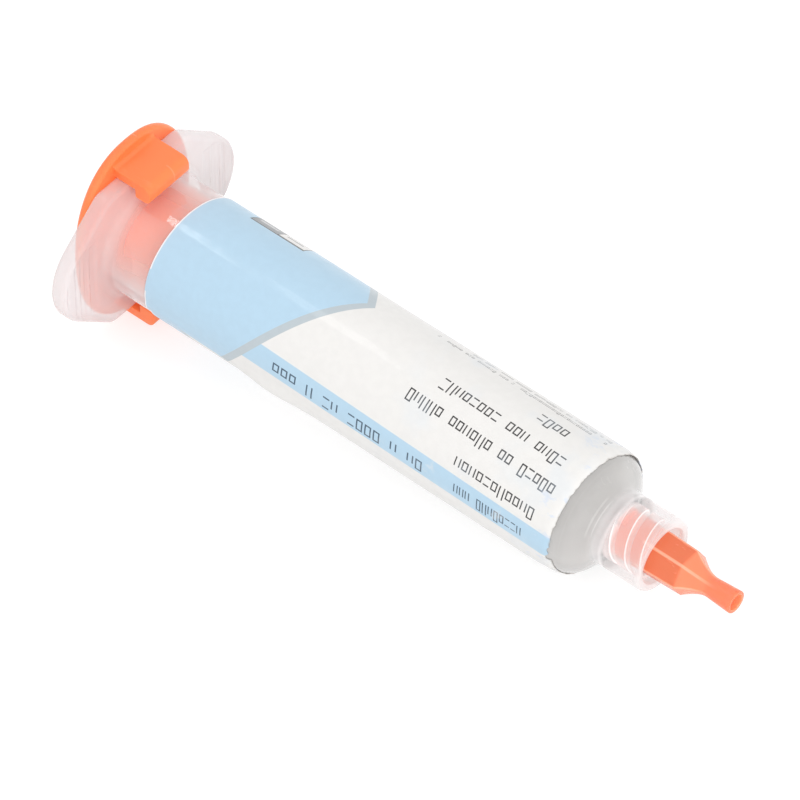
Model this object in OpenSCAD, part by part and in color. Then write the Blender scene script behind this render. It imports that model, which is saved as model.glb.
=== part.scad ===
// Solder paste syringe: a pressure-dispensing barrel with eared flange and Luer-lock nose,
// a clip-on end cap, a wiper piston, its paste filling, a wrapped label and a screw-on tip cap.
// Every piece is drawn standing on the flange's back face, nose up, and is then laid down
// along +X with its ears level and the clips of the end cap above and below.

/* [Barrel] */
// Outside diameter of the barrel
barrel_od = 17.8; // [17:0.1:19]
// Wall thickness of the barrel and its shoulder
barrel_wall = 1; // [0.8:0.05:1.3]
// Length of the straight barrel, from the flange's back face to the start of the shoulder
barrel_straight = 76.4; // [70:0.1:85]
// Radius that rounds the barrel into its shoulder
shoulder_r = 4; // [3.5:0.1:5.5]
// Slope of the shoulder's cone, measured from the barrel's axis
shoulder_angle = 55; // [40:1:60]

/* [Flange] */
// Thickness of the flange
flange_t = 2.5; // [2:0.1:3.2]
// Half height of the flange, at its two flats
flange_flat = 11.7; // [11.2:0.1:12.2]
// Half width of the flange, at the tips of its ears
flange_tip = 16.9; // [16.2:0.1:18]
// Distance from the axis to the slanting edges of the ears
flange_slant = 13.9; // [13.5:0.1:14.3]
// Slope of the slanting edges, measured from the ears' direction
slant_angle = 41; // [38:1:44]
// Radius of the corners between flats and slanting edges
flange_corner_r = 2.5; // [1.5:0.1:3.5]
// Rounding of the flange's edges
flange_edge_r = 0.7; // [0.4:0.1:0.9]
// Fillet where the flange meets the barrel
flange_fillet = 1.3; // [0.8:0.1:1.8]

/* [Finger pads] */
// Radius of the shallow round pad on the front of each ear
pad_r = 5.4; // [4.5:0.1:5.6]
// Distance of the pad's centre from the axis
pad_centre = 10.5; // [10:0.1:10.9]
// Depth of the pad
pad_depth = 0.3; // [0.2:0.05:0.5]
// Number of grip ribs on each pad
rib_count = 4; // [2:1:5]
// Width of a grip rib
rib_w = 0.4; // [0.3:0.05:0.6]
// Spacing of the grip ribs
rib_pitch = 1.4; // [1:0.1:1.6]

/* [Luer lock nose] */
// Outside diameter of the locking collar
collar_od = 10.5; // [10:0.1:11]
// Inside diameter of the locking collar, at the root of its thread
collar_id = 8.1; // [8:0.05:8.3]
// Depth of the locking collar, from its floor to its rim
collar_depth = 7.05; // [6.5:0.05:7.5]
// Thickness of the floor between the shoulder and the collar
collar_floor = 0.9; // [0.7:0.05:1.2]
// Rounding of the collar's rim
collar_edge_r = 0.6; // [0.3:0.05:0.7]
// Diameter of the male cone at its tip
luer_tip_d = 3.95; // [3.93:0.01:3.99]
// Growth of the male cone's diameter for each millimetre of its length
luer_taper = 0.06; // [0.055:0.001:0.065]
// Length of the male cone that stands out past the collar's rim
luer_reach = 1.25; // [1:0.05:2.1]
// Diameter of the outlet through the nose
outlet_d = 2.2; // [1.8:0.1:2.4]
// Rise of the funnel from the shoulder's cone to the outlet
funnel_rise = 0.4; // [0.2:0.1:0.6]

/* [End cap] */
// Half height of the end cap's oval plate, towards its clips
cap_half_h = 15.2; // [15:0.1:15.6]
// Half width of the end cap's oval plate
cap_half_w = 10.7; // [10.3:0.1:11.5]
// Fullness of the oval, where 2 is a plain ellipse
cap_fullness = 2.3; // [2:0.1:2.6]
// Thickness of the plate
cap_t = 1.5; // [1.5:0.1:1.9]
// Rounding of the plate's back edge
cap_back_r = 0.8; // [0.5:0.1:0.8]
// Rounding of the plate's front edge
cap_front_r = 0.5; // [0.3:0.1:0.6]
// Thickness of a clip's arm
clip_t = 1.4; // [1.3:0.1:1.5]
// Fillet where a clip's arm grows out of the plate
clip_root_r = 0.6; // [0.4:0.1:0.6]
// Width of a clip
clip_w = 7.8; // [6.5:0.1:9]
// Length of a clip in front of the flange's back face
clip_len = 6.1; // [5.8:0.1:6.5]
// Depth of the hook behind the flange's edge
hook_depth = 1.3; // [1:0.1:1.4]
// Rounding of the clip's front edge
clip_nose_r = 1.2; // [0.9:0.1:1.3]
// Rounding of the hook's inner edge
hook_r = 0.9; // [0.6:0.1:1]
// Rounding of the clip's front corners
clip_corner_r = 1.2; // [0.8:0.1:1.6]
// Length of the plug inside the barrel
plug_len = 9.9; // [8:0.1:9.9]
// Wall thickness of the plug
plug_wall = 1.3; // [1:0.1:1.6]
// Height of the sealing bead round the plug
bead_h = 0.2; // [0.1:0.05:0.3]

/* [Piston] */
// Distance from the flange's back face to the piston's back end
piston_back = 10.4; // [10:0.1:12]
// Length of the piston without its nose
piston_len = 9; // [8:0.1:11]
// Wall thickness of the piston
piston_wall = 1.2; // [1:0.1:1.5]
// Length of each wiper lip
wiper_len = 1.8; // [1.4:0.1:2.4]
// Depth of the waist between the lips
waist_depth = 0.5; // [0.3:0.1:0.7]
// Diameter of the flat end of the piston's nose
piston_nose_d = 4; // [3:0.1:5]

/* [Tip cap] */
// Distance across the corners of the hexagonal grip
hex_corners = 6.9; // [6.5:0.05:6.95]
// Length of the grip that shows past the collar's rim
hex_reach = 4.15; // [3.5:0.05:5]
// Length of the concave neck from the grip to the tube
neck_len = 3.7; // [3:0.1:4.5]
// Length of the tube
tube_len = 3.9; // [3:0.1:5]
// Diameter of the tube at its thin end
tube_d = 2.8; // [2.7:0.05:3]
// Diameter of the tube at its open end
tube_mouth_d = 3.25; // [3.1:0.05:3.4]
// Diameter of the tube's blind hole
tube_hole_d = 2.2; // [2:0.05:2.4]
// Depth of the tube's blind hole
tube_hole_depth = 5; // [4:0.1:6]
// Diameter of the round hub inside the collar
hub_d = 6.4; // [6.2:0.05:6.8]
// Diameter across the two locking lugs
lug_d = 7.8; // [7.6:0.05:7.85]
// Width of a locking lug
lug_w = 3.2; // [2.5:0.1:4]
// Thickness of a locking lug
lug_t = 1; // [0.8:0.1:1.2]
// Depth of the socket past the end of the male cone
socket_extra = 0.7; // [0.5:0.1:1]

/* [Label] */
// Distance from the flange's back face to the label's back edge
label_start = 9.6; // [9:0.1:12]
// Length of the label along the barrel
label_len = 68.2; // [60:0.1:70]
// Thickness of the label
label_t = 0.15; // [0.1:0.01:0.2]
// Width of the strip where the label's end laps over its start
lap_w = 3; // [2:0.5:5]
// Turn of the lapped strip about the barrel
lap_angle = 295; // [290:5:320]

/* [Clearances] */
// Gap all round between pieces that seat on each other
seat_gap = 0.05; // [0.03:0.01:0.1]
// Radial gap between the piston's lips and the bore
wiper_gap = 0.05; // [0.02:0.01:0.1]
// Radial gap between the plug's bead and the bore
plug_gap = 0.05; // [0.02:0.01:0.1]
// Gap between the paste and the walls round it
paste_gap = 0.03; // [0.02:0.01:0.05]
// Radial gap between the label and the barrel
label_gap = 0.02; // [0.01:0.01:0.04]
// Gap between the clips and the flange's flats
clip_gap = 0.1; // [0.05:0.05:0.2]
// Play of the hooks in front of the flange
hook_play = 1.1; // [0.8:0.1:1.2]
// Gap between the tip cap's hub and the collar's floor
hub_gap = 0.5; // [0.3:0.1:0.8]
// Radial gap between the tip cap's socket and the male cone
socket_gap = 0.03; // [0.02:0.01:0.05]

/* [Hidden] */
$fn = 96;

natural = [0.95, 0.87, 0.87, 0.5];
orange = [1, 0.5, 0.27];
pale_blue = [0.73, 0.87, 0.95];
paste_grey = [0.72, 0.71, 0.69];
piston_white = [0.93, 0.93, 0.9];

// Heights of the stations along the axis, from the flange's back face
barrel_r = barrel_od / 2;
bore_r = barrel_r - barrel_wall;
outlet_r = outlet_d / 2;
collar_r = collar_od / 2;
collar_in = collar_id / 2;
shoulder_centre = barrel_r - shoulder_r;
cone_r = shoulder_centre + shoulder_r * cos(shoulder_angle);
cone_h = barrel_straight + shoulder_r * sin(shoulder_angle);
collar_root = cone_h + (cone_r - collar_r) / tan(shoulder_angle);
collar_base = collar_root + collar_floor;
collar_top = collar_base + collar_depth;
luer_top = collar_top + luer_reach;
luer_tip_r = luer_tip_d / 2;
in_r = shoulder_r - barrel_wall;
cone_in_r = shoulder_centre + in_r * cos(shoulder_angle);
cone_in_h = barrel_straight + in_r * sin(shoulder_angle);
funnel_r = cone_in_r - (collar_root - cone_in_h) * tan(shoulder_angle);

// Reach of the whole part along its axis, and the frame's origin
back_end = -seat_gap - cap_t;
tip_end = collar_top + hex_reach + neck_len + tube_len;
clip_out = flange_flat + clip_gap + clip_t;
mid_h = (back_end + tip_end) / 2;
lowest = cap_half_h;

// Radius of the male cone at height h
function cone_radius(h) = luer_tip_r + (luer_top - h) * luer_taper / 2;

// Points of an arc about [x, y] in the plane, from angle a to angle b
function arc(x, y, r, a, b, n = 12) =
    [for (k = [0 : n]) [x + r * cos(a + (b - a) * k / n), y + r * sin(a + (b - a) * k / n)]];

// Lays a standing piece down along +X, centred over the origin and resting on z = 0
module laid() {
    translate([-mid_h, 0, lowest]) rotate([0, 90, 0]) children();
}

// Outline of the flange, ears along y, drawn in by the given amount
function flange_outline(inset) = let (
    flat = flange_flat - inset,
    slant = flange_slant - inset,
    tip = flange_tip - inset,
    corner = flange_corner_r - inset,
    corner_y = (slant - corner - (flat - corner) * cos(slant_angle)) / sin(slant_angle),
    ear_c = (tip - slant) / (1 - sin(slant_angle)),
    bend = arc(flat - corner, corner_y, corner, 0, slant_angle, 4),
    ear = arc(0, ear_c, tip - ear_c, slant_angle, 90, 10),
    side = concat(bend, [for (k = [0 : 9]) ear[k]]),
    back = [for (k = [len(side) - 1 : -1 : 0]) side[k]]
) concat(
    side, [[0, tip]], [for (p = back) [-p[0], p[1]]],
    [for (p = side) [-p[0], -p[1]]], [[0, -tip]], [for (p = back) [p[0], -p[1]]]
);

// Solid between rings of points round the axis, each ring at its own height, closed by a fan at each end
module ringed(rings, heights) {
    n = len(rings[0]);
    top = len(rings) - 1;
    points = [for (k = [0 : top], p = rings[k]) [p[0], p[1], heights[k]]];
    middles = [[0, 0, heights[0]], [0, 0, heights[top]]];
    skin = [for (k = [0 : top - 1], j = [0 : n - 1]) let (i = (j + 1) % n)
        [k * n + i, k * n + j, (k + 1) * n + j, (k + 1) * n + i]];
    floor = [for (j = [0 : n - 1]) [j, (j + 1) % n, (top + 1) * n]];
    roof = [for (j = [0 : n - 1]) [top * n + (j + 1) % n, top * n + j, (top + 1) * n + 1]];
    polyhedron(concat(points, middles), concat(skin, floor, roof));
}

// Outline of the end cap's oval, drawn in by the given amount
function cap_outline(inset) = let (a = cap_half_h - inset, b = cap_half_w - inset, n = cap_fullness) [
    for (k = [0 : 47]) let (
        c = cos(7.5 * k),
        s = sin(7.5 * k),
        r = pow(pow(abs(c), n) + pow(abs(s), n), -1 / n)
    ) [a * r * c, b * r * s]
];

// The end cap's oval plate, with rounded edges on both faces
module cap_plate(back, front) {
    turns = [90, 60, 30, 0];
    rises = [for (a = turns) 1 - sin(a)];
    insets = [for (a = turns) 1 - cos(a)];
    ringed(
        concat(
            [for (k = [0 : 3]) cap_outline(cap_back_r * insets[k])],
            [for (k = [3 : -1 : 0]) cap_outline(cap_front_r * insets[k])]
        ),
        concat(
            [for (k = [0 : 3]) back + cap_back_r * rises[k]],
            [for (k = [3 : -1 : 0]) front - cap_front_r * rises[k]]
        )
    );
}

// The flange's plate, with rounded edges on both faces
module flange_plate() {
    turns = [90, 60, 30, 0];
    insets = [for (a = turns) flange_edge_r * (1 - cos(a))];
    rises = [for (a = turns) flange_edge_r * (1 - sin(a))];
    ringed(
        [for (k = [0, 1, 2, 3, 3, 2, 1, 0]) flange_outline(insets[k])],
        concat(rises, [for (k = [3 : -1 : 0]) flange_t - rises[k]])
    );
}

// Shallow round pad with upright grip ribs, cut into the front of each ear
module finger_pads() {
    first = pad_centre + (pad_r - rib_pitch) - (rib_count - 1) * rib_pitch;
    for (side = [0, 1]) mirror([0, side]) difference() {
        translate([0, pad_centre, flange_t - pad_depth]) cylinder(r = pad_r, h = pad_depth + 1);
        cylinder(r = barrel_r + flange_fillet, h = flange_t + 2);
        for (k = [0 : rib_count - 1])
            translate([-pad_r, first + k * rib_pitch - rib_w / 2, 0]) cube([2 * pad_r, rib_w, flange_t]);
    }
}

// Barrel wall, shoulder and nose in one revolved section, open at the back
module barrel_shell() {
    rotate_extrude() polygon(concat(
        [[bore_r, 0], [barrel_r + flange_fillet, 0]],
        arc(barrel_r + flange_fillet, flange_t + flange_fillet, flange_fillet, 270, 180),
        arc(shoulder_centre, barrel_straight, shoulder_r, 0, shoulder_angle),
        [[collar_r, collar_root]],
        arc(collar_r - collar_edge_r, collar_top - collar_edge_r, collar_edge_r, 0, 90, 6),
        [[collar_in, collar_top], [collar_in, collar_base], [cone_radius(collar_base), collar_base]],
        [[luer_tip_r, luer_top], [outlet_r, luer_top]],
        [[outlet_r, collar_root + funnel_rise], [funnel_r, collar_root]],
        arc(shoulder_centre, barrel_straight, in_r, shoulder_angle, 0)
    ));
}

module barrel() {
    color(natural) laid() difference() {
        union() {
            barrel_shell();
            difference() {
                flange_plate();
                translate([0, 0, -1]) cylinder(r = barrel_r, h = flange_t + 2);
            }
        }
        finger_pads();
    }
}

// One turn of printed film, with a strip where its end laps over its start
module label() {
    inner = barrel_r + label_gap;
    outer = inner + label_t;
    color(pale_blue) laid() translate([0, 0, label_start]) difference() {
        union() {
            cylinder(r = outer, h = label_len);
            intersection() {
                cylinder(r = outer + label_t, h = label_len);
                rotate(lap_angle) translate([0, -lap_w / 2, 0]) cube([barrel_od, lap_w, label_len]);
            }
        }
        translate([0, 0, -1]) cylinder(r = inner, h = label_len + 2);
    }
}

// The filling, from the piston's face through the shoulder and the outlet
module solder_paste() {
    r = bore_r - paste_gap;
    back = piston_back + piston_len + seat_gap;
    nose_r = piston_nose_d / 2;
    nose_h = back + (piston_body_r - nose_r) / tan(shoulder_angle);
    strand_r = outlet_r - paste_gap;
    color(paste_grey) laid() rotate_extrude() polygon(concat(
        [[0, nose_h], [nose_r, nose_h], [piston_body_r, back], [r, back]],
        arc(shoulder_centre, barrel_straight, in_r - paste_gap, 0, shoulder_angle),
        [[funnel_r - paste_gap, collar_root - paste_gap]],
        [[strand_r, collar_root + funnel_rise], [strand_r, luer_top], [0, luer_top]]
    ));
}

// Hollow wiper piston, open at the back, with a lip at each end and a cone that fits the shoulder
piston_r = bore_r - wiper_gap;
piston_body_r = piston_r - waist_depth;
module piston() {
    front = piston_back + piston_len;
    nose_r = piston_nose_d / 2;
    nose_h = front + (piston_body_r - nose_r) / tan(shoulder_angle);
    bowl_r = piston_body_r - piston_wall;
    slope = piston_wall / sin(shoulder_angle);
    color(piston_white) laid() rotate_extrude() polygon([
        [bowl_r, piston_back], [piston_r - waist_depth / 2, piston_back],
        [piston_r, piston_back + waist_depth], [piston_r, piston_back + wiper_len],
        [piston_body_r, piston_back + wiper_len + waist_depth],
        [piston_body_r, front - wiper_len - waist_depth], [piston_r, front - wiper_len],
        [piston_r, front - waist_depth], [piston_body_r, front],
        [nose_r, nose_h], [0, nose_h],
        [0, nose_h - slope], [nose_r, nose_h - slope], [bowl_r, nose_h - slope - (bowl_r - nose_r) / tan(shoulder_angle)]
    ]);
}

// One clip of the end cap: an arm over the flange's flat and a hook in front of it
module clip() {
    arm_in = flange_flat + clip_gap;
    hook_in = flange_flat - hook_depth;
    hook_back = flange_t + hook_play;
    root = -seat_gap - cap_t / 2;
    brow = clip_out + clip_root_r;
    side = clip_w / 2 - clip_corner_r;
    intersection() {
        rotate([90, 0, 0]) linear_extrude(clip_w, center = true) polygon(concat(
            [[hook_in, hook_back], [arm_in, hook_back], [arm_in, root], [brow, root]],
            arc(brow, clip_root_r - seat_gap, clip_root_r, 270, 180, 6),
            arc(clip_out - clip_nose_r, clip_len - clip_nose_r, clip_nose_r, 0, 90),
            arc(hook_in + hook_r, clip_len - hook_r, hook_r, 90, 180)
        ));
        rotate([0, 90, 0]) linear_extrude(2 * clip_out) {
            translate([-clip_len + clip_corner_r, -clip_w / 2]) square([clip_len + cap_t, clip_w]);
            translate([-clip_len, -side]) square([clip_len, 2 * side]);
            for (y = [-side, side]) translate([-clip_len + clip_corner_r, y]) circle(clip_corner_r);
        }
    }
}

module end_cap() {
    plug_r = bore_r - plug_gap - bead_h;
    plug_in = plug_r - plug_wall;
    bead_at = plug_len - 3 * bead_h - 1;
    sunk = -seat_gap - cap_t / 2;
    color(orange) laid() {
        cap_plate(back_end, -seat_gap);
        rotate_extrude() polygon([
            [plug_in, sunk], [plug_r, sunk], [plug_r, bead_at - 2 * bead_h], [plug_r + bead_h, bead_at],
            [plug_r + bead_h, bead_at + 2 * bead_h], [plug_r - bead_h, plug_len], [plug_in, plug_len]
        ]);
        for (side = [0, 1]) mirror([side, 0, 0]) clip();
    }
}

// Distance from the axis to the hexagon's side in the direction a
function hex_radius(a) = hex_corners / 2 * cos(30) / cos((a + 30) % 60 - 30);

// Hexagonal grip from h0 to h1 and its concave neck up to h2, whose ridges fade as it narrows
module grip(h0, h1, h2) {
    steps = 9;
    sides = 36;
    end_r = tube_d / 2 + 0.03;
    nears = concat([1], [for (k = [0 : steps]) pow(1 - k / steps, 1.6)]);
    ringed(
        [for (near = nears) [for (j = [0 : sides - 1]) let (
            a = 360 * j / sides,
            r = end_r + (hex_radius(a) - end_r) * near
        ) [r * cos(a), r * sin(a)]]],
        concat([h0], [for (k = [0 : steps]) h1 + (h2 - h1) * k / steps])
    );
}

module tip_cap() {
    hub_base = collar_base + hub_gap;
    hex_base = collar_top - hub_gap * 4;
    hex_top = collar_top + hex_reach;
    tube_base = hex_top + neck_len;
    tube_sink = neck_len / 4;
    tube_flare = (tube_mouth_d - tube_d) / tube_len;
    socket_top = luer_top + socket_extra;
    color(orange) laid() difference() {
        union() {
            translate([0, 0, hub_base]) cylinder(d = hub_d, h = hex_base - hub_base + hub_gap);
            grip(hex_base, hex_top, tube_base);
            translate([0, 0, tube_base - tube_sink])
                cylinder(d1 = tube_d - tube_sink * tube_flare, d2 = tube_mouth_d, h = tube_len + tube_sink);
            intersection() {
                translate([0, 0, hub_base]) cylinder(d = lug_d, h = lug_t);
                translate([-lug_d / 2, -lug_w / 2, hub_base]) cube([lug_d, lug_w, lug_t]);
            }
        }
        translate([0, 0, hub_base - 1]) cylinder(
            r1 = cone_radius(hub_base - 1) + socket_gap,
            r2 = cone_radius(socket_top) + socket_gap,
            h = socket_top - hub_base + 1
        );
        translate([0, 0, tip_end - tube_hole_depth]) cylinder(d = tube_hole_d, h = tube_hole_depth + 1);
    }
}

barrel();
label();
solder_paste();
piston();
end_cap();
tip_cap();
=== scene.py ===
"""Solder paste syringe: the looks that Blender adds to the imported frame.

The CAD model gives every size and place. Each piece is turned, shaped or rolled at the same
stations along the barrel's axis, and then gets its own finish. Lengths in the classes are in
millimetres, and stations are measured from the flange's back face towards the nose.
"""

import logging
import math
from collections.abc import Callable, Sequence
from dataclasses import dataclass
from enum import Enum
from functools import partial, reduce

import bpy
from mathutils import Matrix, Vector, noise

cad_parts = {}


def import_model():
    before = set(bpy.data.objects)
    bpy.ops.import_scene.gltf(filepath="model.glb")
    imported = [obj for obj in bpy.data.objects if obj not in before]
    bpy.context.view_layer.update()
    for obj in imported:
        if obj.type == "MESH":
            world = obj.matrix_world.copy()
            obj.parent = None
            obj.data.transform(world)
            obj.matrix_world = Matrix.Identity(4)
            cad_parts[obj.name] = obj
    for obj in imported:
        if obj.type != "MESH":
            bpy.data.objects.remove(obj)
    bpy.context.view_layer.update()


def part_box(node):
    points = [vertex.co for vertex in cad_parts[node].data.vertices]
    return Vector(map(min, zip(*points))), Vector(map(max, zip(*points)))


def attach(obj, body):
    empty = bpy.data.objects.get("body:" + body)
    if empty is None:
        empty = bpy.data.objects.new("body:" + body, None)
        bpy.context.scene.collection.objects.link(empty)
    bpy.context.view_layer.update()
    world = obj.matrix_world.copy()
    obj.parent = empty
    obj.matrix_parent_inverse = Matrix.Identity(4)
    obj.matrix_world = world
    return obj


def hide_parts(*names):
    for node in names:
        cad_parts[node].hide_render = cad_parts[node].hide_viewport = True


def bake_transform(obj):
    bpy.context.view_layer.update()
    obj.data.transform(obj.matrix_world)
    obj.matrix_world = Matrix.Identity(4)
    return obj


LOG = logging.getLogger("syringe")
MM = 0.001
CONE = math.radians(55)
Point = tuple[float, float]
Triple = tuple[float, float, float]
Rule = Callable[[float, float, float], Triple]
Object = bpy.types.Object
Material = bpy.types.Material
Socket = bpy.types.NodeSocket


def smooth(low: float, high: float, value: float) -> float:
    """Rises softly from 0 at low to 1 at high.

    Args:
        low: Where the rise starts.
        high: Where the rise ends.
        value: Where to read it.

    Returns:
        A share from 0 to 1.
    """
    t = min(1.0, max(0.0, (value - low) / (high - low)))
    return t * t * (3 - 2 * t)


def arc(s: float, r: float, radius: float, start: float, end: float, count: int) -> list[Point]:
    """Points on an arc in the plane of a profile.

    Args:
        s: Station of the centre.
        r: Distance of the centre from the axis.
        radius: Radius of the arc.
        start: First angle in degrees, where 0 points away from the axis and 90 to the nose.
        end: Last angle in degrees.
        count: Number of steps.

    Returns:
        Pairs of station and distance from the axis.
    """
    angles = [math.radians(start + (end - start) * k / count) for k in range(count + 1)]
    return [(s + radius * math.sin(a), r + radius * math.cos(a)) for a in angles]


def spread(start: Point, end: Point, count: int) -> list[Point]:
    """Evenly spaced points between two, without the first and with the last.

    Args:
        start: Point before the first.
        end: Last point.
        count: Number of points.

    Returns:
        Pairs of station and distance from the axis.
    """
    return [
        (start[0] + (end[0] - start[0]) * k / count, start[1] + (end[1] - start[1]) * k / count)
        for k in range(1, count + 1)
    ]


@dataclass(frozen=True)
class Datum:
    """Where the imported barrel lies: its flange's back face and its axis, in metres."""

    back_x: float
    axis_z: float

    @classmethod
    def read(cls) -> "Datum":
        """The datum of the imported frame."""
        barrel_low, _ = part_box("barrel")
        piston_low, piston_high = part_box("piston")
        return cls(barrel_low.x, (piston_low.z + piston_high.z) / 2)

    def spot(self, s: float, y: float, z: float) -> Vector:
        """A place from its station and its distances beside and above the axis."""
        return Vector((self.back_x + s * MM, y * MM, self.axis_z + z * MM))

    def polar(self, s: float, r: float, turn: float) -> Vector:
        """A place from its station, radius and turn from the top towards -Y, in radians."""
        return self.spot(s, -r * math.sin(turn), r * math.cos(turn))

    def axes(self, sheet: "Sheet") -> tuple[Socket, ...]:
        """Station, radius and turn of the shaded place, as sockets of a material."""
        split = sheet.node("SeparateXYZ")
        sheet.feed(split.inputs[0], sheet.place())
        x, y, z = split.outputs
        s = sheet.over(sheet.less(x, self.back_x), MM)
        beside, above = sheet.over(y, -MM), sheet.over(sheet.less(z, self.axis_z), MM)
        squares = sheet.plus(*(sheet.math("POWER", side, 2) for side in (beside, above)))
        return s, sheet.math("SQRT", squares), sheet.math("ARCTAN2", beside, above)

    def read_polar(self, place: Vector) -> Triple:
        """The station, radius and turn of a place."""
        y, z = place.y / MM, (place.z - self.axis_z) / MM
        return (place.x - self.back_x) / MM, math.hypot(y, z), math.atan2(-y, z)


class Bench:
    """Operators for shaping one mesh at a time."""

    @staticmethod
    def clear() -> None:
        """Leaves edit mode and deselects everything."""
        if bpy.context.object and bpy.context.object.mode != "OBJECT":
            bpy.ops.object.mode_set(mode="OBJECT")
        bpy.ops.object.select_all(action="DESELECT")

    @staticmethod
    def hold(piece: Object) -> None:
        """Leaves edit mode and makes one piece selected and active."""
        Bench.clear()
        piece.select_set(True)
        bpy.context.view_layer.objects.active = piece

    @staticmethod
    def done(piece: Object, name: str, angle: float) -> Object:
        """Closes a piece, names it, settles its place and shades it.

        Args:
            piece: The object.
            name: Its name from now on.
            angle: Edges that bend more than this many degrees stay sharp.

        Returns:
            The same object.
        """
        Bench.hold(piece)
        bpy.ops.object.transform_apply(location=True, rotation=True, scale=True)
        bpy.ops.object.shade_smooth_by_angle(angle=math.radians(angle))
        piece.name = piece.data.name = name
        piece.select_set(False)
        return piece

    @staticmethod
    def pick_edges(piece: Object, test: Callable[[Vector, Vector], bool]) -> None:
        """Selects the edges of the edited mesh that pass a test.

        Args:
            piece: The object in edit mode.
            test: Takes the two ends of an edge.
        """
        bpy.ops.mesh.select_mode(type="EDGE")
        bpy.ops.mesh.select_all(action="DESELECT")
        bpy.ops.object.mode_set(mode="OBJECT")
        for edge in piece.data.edges:
            edge.select = test(*(piece.data.vertices[i].co for i in edge.vertices))
        bpy.ops.object.mode_set(mode="EDIT")

    @staticmethod
    def apply(piece: Object, kind: str, **settings: object) -> None:
        """Adds one modifier and applies it.

        Args:
            piece: The object.
            kind: The modifier's type.
            **settings: Its settings.
        """
        Bench.hold(piece)
        modifier = piece.modifiers.new(kind.title(), kind)
        for key, value in settings.items():
            setattr(modifier, key, value)
        bpy.ops.object.modifier_apply(modifier=modifier.name)

    @staticmethod
    def trace(places: Sequence[Vector]) -> Object:
        """Draws a line point by point and leaves it open in edit mode.

        Args:
            places: The line's points; a closed loop ends on its first point.

        Returns:
            The drawn line.
        """
        Bench.clear()
        bpy.ops.mesh.primitive_plane_add(size=MM, location=places[0])
        piece = bpy.context.object
        bpy.ops.object.mode_set(mode="EDIT")
        bpy.ops.mesh.select_mode(type="VERT")
        bpy.ops.mesh.select_all(action="SELECT")
        bpy.ops.mesh.merge(type="CENTER")
        for before, after in zip(places, places[1:]):
            bpy.ops.mesh.extrude_region_move(TRANSFORM_OT_translate={"value": after - before})
        bpy.ops.mesh.select_all(action="SELECT")
        return piece

    @staticmethod
    def turn(datum: Datum, profile: Sequence[Point], steps: int) -> Object:
        """Draws a profile and spins it about the axis.

        Args:
            datum: Where the barrel lies.
            profile: Stations and radii; a closed loop ends on its first point.
            steps: Number of columns round the axis.

        Returns:
            The turned mesh, with its seam and poles merged.
        """
        piece = Bench.trace([datum.spot(s, 0, r) for s, r in profile])
        centre = (0, 0, datum.axis_z)
        bpy.ops.mesh.spin(steps=steps, angle=math.tau, center=centre, axis=(1, 0, 0))
        bpy.ops.mesh.select_all(action="SELECT")
        bpy.ops.mesh.remove_doubles(threshold=0.002 * MM)
        bpy.ops.mesh.normals_make_consistent(inside=False)
        Bench.hold(piece)
        bpy.ops.object.transform_apply(location=True, rotation=True, scale=True)
        return piece

    @staticmethod
    def reshape(datum: Datum, piece: Object, rule: Rule) -> None:
        """Moves each vertex of a turned mesh by a rule on its station, radius and turn.

        Args:
            datum: Where the barrel lies.
            piece: The turned mesh.
            rule: Takes and returns station, radius and turn.
        """
        for vertex in piece.data.vertices:
            vertex.co = datum.polar(*rule(*datum.read_polar(vertex.co)))
        piece.data.update()


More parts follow.
